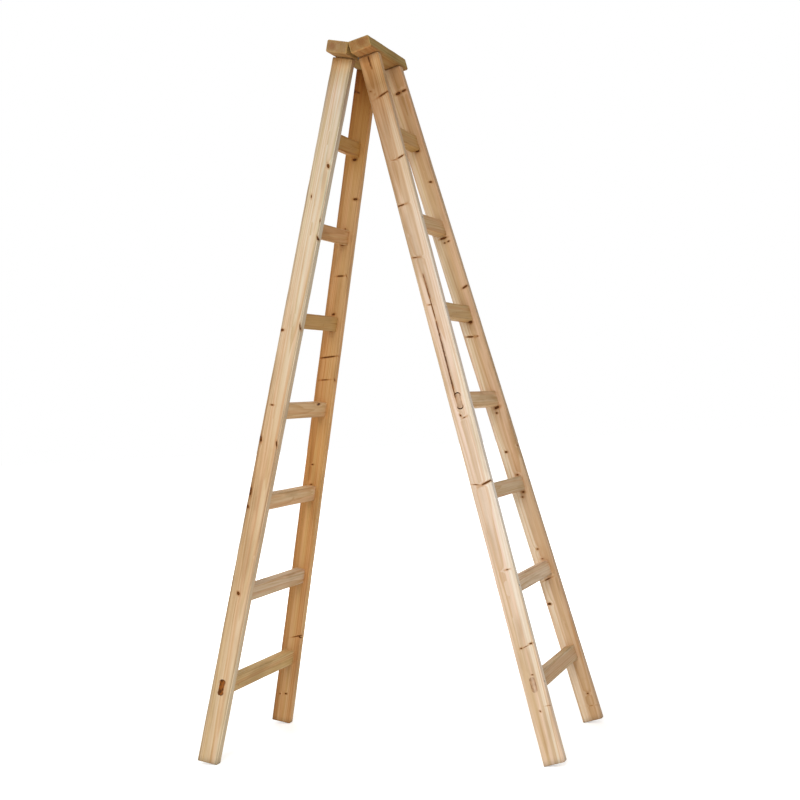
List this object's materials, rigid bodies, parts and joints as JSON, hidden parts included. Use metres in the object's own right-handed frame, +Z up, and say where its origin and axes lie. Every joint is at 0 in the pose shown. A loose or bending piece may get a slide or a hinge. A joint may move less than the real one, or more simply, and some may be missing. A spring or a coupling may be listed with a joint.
{
  "type": "wooden a-frame ladder",
  "caption": "Folding wooden A-frame ladder: two tapered halves with flat rungs, hinged between overhanging cap rails.",
  "frame": {"origin": "on the floor, midway between the four feet, with the ladder standing open", "axes": "+X towards the right half's feet, across the spread; +Y along the rungs, to the back; +Z up"},
  "size_m": [1.1988, 0.713, 2.3054],
  "materials": {
    "stile_wood": "sawn pine, unfinished",
    "rung_wood": "planed pine, worn",
    "cap_wood": "planed pine, weathered",
    "hinge_steel": "satin, zinc plated",
    "fastener_steel": "satin"
  },
  "bodies": {
    "left_half": {"left_back_stile": "stile_wood", "left_front_stile": "stile_wood", "left_rung_1": "rung_wood", "left_rung_2": "rung_wood", "left_rung_3": "rung_wood", "left_rung_4": "rung_wood", "left_rung_5": "rung_wood", "left_rung_6": "rung_wood", "left_rung_7": "rung_wood", "left_cap": "cap_wood", "left_rung_nails": "fastener_steel", "left_cap_screws": "fastener_steel", "left_hinge_screws": "fastener_steel", "front_hinge_left_leaf": "hinge_steel", "back_hinge_left_leaf": "hinge_steel", "front_hinge_pin": "hinge_steel", "back_hinge_pin": "hinge_steel"},
    "right_half": {"right_back_stile": "stile_wood", "right_front_stile": "stile_wood", "right_rung_1": "rung_wood", "right_rung_2": "rung_wood", "right_rung_3": "rung_wood", "right_rung_4": "rung_wood", "right_rung_5": "rung_wood", "right_rung_6": "rung_wood", "right_rung_7": "rung_wood", "right_cap": "cap_wood", "right_rung_nails": "fastener_steel", "right_cap_screws": "fastener_steel", "right_hinge_screws": "fastener_steel", "front_hinge_right_leaf": "hinge_steel", "back_hinge_right_leaf": "hinge_steel"}
  },
  "joints": [
    {"name": "fold", "type": "hinge", "parent": "left_half", "child": "right_half", "pos_m": [0, 0, 2.27618], "axis": [0, 1, 0], "range_deg": [0, 26.2]}
  ]
}
